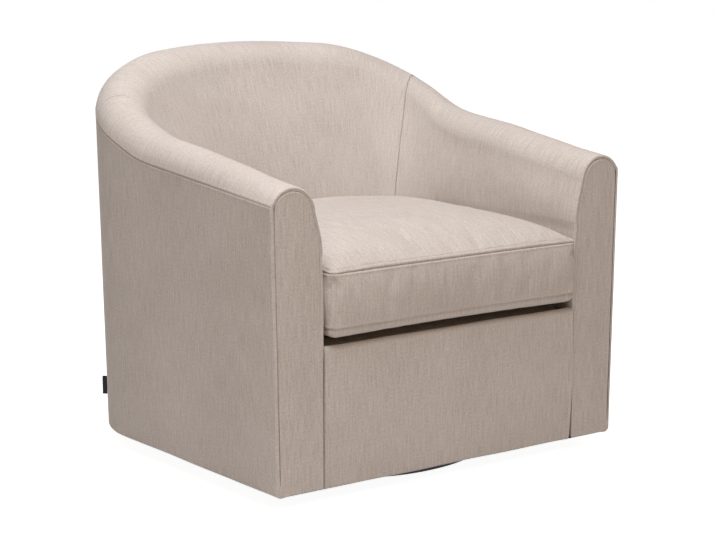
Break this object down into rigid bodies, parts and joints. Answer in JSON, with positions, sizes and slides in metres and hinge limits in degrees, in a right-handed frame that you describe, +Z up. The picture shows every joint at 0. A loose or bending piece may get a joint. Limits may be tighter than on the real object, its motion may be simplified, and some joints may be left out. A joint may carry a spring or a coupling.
{
  "type": "swivel armchair",
  "caption": "Upholstered tub armchair with rolled arms that sweep up into the back, a loose boxed seat cushion and a hidden swivel base.",
  "frame": {"origin": "on the floor, where the swivel axis meets it, at the middle of the base's felt underside", "axes": "+Z up along the swivel axis, -Y towards the front of the seat, +X to the right seen from the front"},
  "size_m": [0.7784, 0.7677, 0.733],
  "materials": {
    "upholstery": "slub linen weave",
    "foam": "open-cell foam",
    "platform_cloth": "plain lining cloth",
    "dust_cloth": "spunbond cloth",
    "felt": "pressed felt",
    "black_board": "satin black lacquer",
    "plywood": "raw plywood",
    "beech": "planed",
    "webbing": "elastic webbing",
    "bearing_metal": "as rolled",
    "steel": "zinc plated",
    "cage_plastic": "moulded",
    "tag": "blank woven tape",
    "zip_tape": "woven tape with nylon coil",
    "zip_metal": "satin nickel"
  },
  "bodies": {
    "base": {"base_felt": "felt", "base_disc": "black_board", "bearing_inner_ring": "bearing_metal", "inner_ring_screws": "steel"},
    "ball_cage": {"ball_cage": "cage_plastic", "bearing_balls": "steel"},
    "chair": {"apron_cover": "upholstery", "apron_pad": "foam", "back_foam": "foam", "back_posts": "beech", "back_shell": "plywood", "back_top_rail": "beech", "back_webbing": "webbing", "bearing_outer_ring": "bearing_metal", "board_screws": "steel", "corner_blocks": "beech", "deck_cloth": "platform_cloth", "deck_pad": "foam", "dust_cover": "dust_cloth", "dust_cover_staples": "steel", "front_bearer": "beech", "front_rail": "beech", "inside_back_cover": "upholstery", "left_arm_facing": "upholstery", "left_arm_foam": "foam", "left_bottom_rail": "beech", "left_front_board": "plywood", "left_front_post": "beech", "left_inside_arm_cover": "upholstery", "left_outside_arm_cover": "upholstery", "left_seat_rail": "beech", "left_side_panel": "plywood", "outer_ring_screws": "steel", "outside_back_cover": "upholstery", "rear_bearer": "beech", "rear_bottom_rail": "beech", "rear_seat_rail": "beech", "right_arm_facing": "upholstery", "right_arm_foam": "foam", "right_bottom_rail": "beech", "right_front_board": "plywood", "right_front_post": "beech", "right_inside_arm_cover": "upholstery", "right_outside_arm_cover": "upholstery", "right_seat_rail": "beech", "right_side_panel": "plywood", "seat_springs": "steel", "side_tag": "tag", "spring_clips": "steel", "swivel_board": "plywood"},
    "seat_cushion": {"cushion_foam": "foam", "cushion_top_panel": "upholstery", "cushion_boxing": "upholstery", "cushion_bottom_panel": "upholstery", "cushion_zip": "zip_tape"},
    "zip_slider": {"zip_slider": "zip_metal"}
  },
  "joints": [
    {"name": "swivel", "type": "hinge", "parent": "base", "child": "chair", "pos_m": [0, 0, 0.033], "axis": [0, 0, 1], "continuous": true},
    {"name": "cage_turn", "type": "hinge", "parent": "base", "child": "ball_cage", "pos_m": [0, 0, 0.027], "axis": [0, 0, 1], "continuous": true},
    {"name": "cushion_lift", "type": "slide", "parent": "chair", "child": "seat_cushion", "axis": [0, 0, 1], "range_m": [0, 0.48]},
    {"name": "zip_run", "type": "hinge", "parent": "seat_cushion", "child": "zip_slider", "pos_m": [0, -0.295, 0.3545], "axis": [0, 0, 1], "range_deg": [0, 36]}
  ],
  "couplings": [
    {"joint": "cage_turn", "follows": "swivel", "ratio": 0.5}
  ]
}
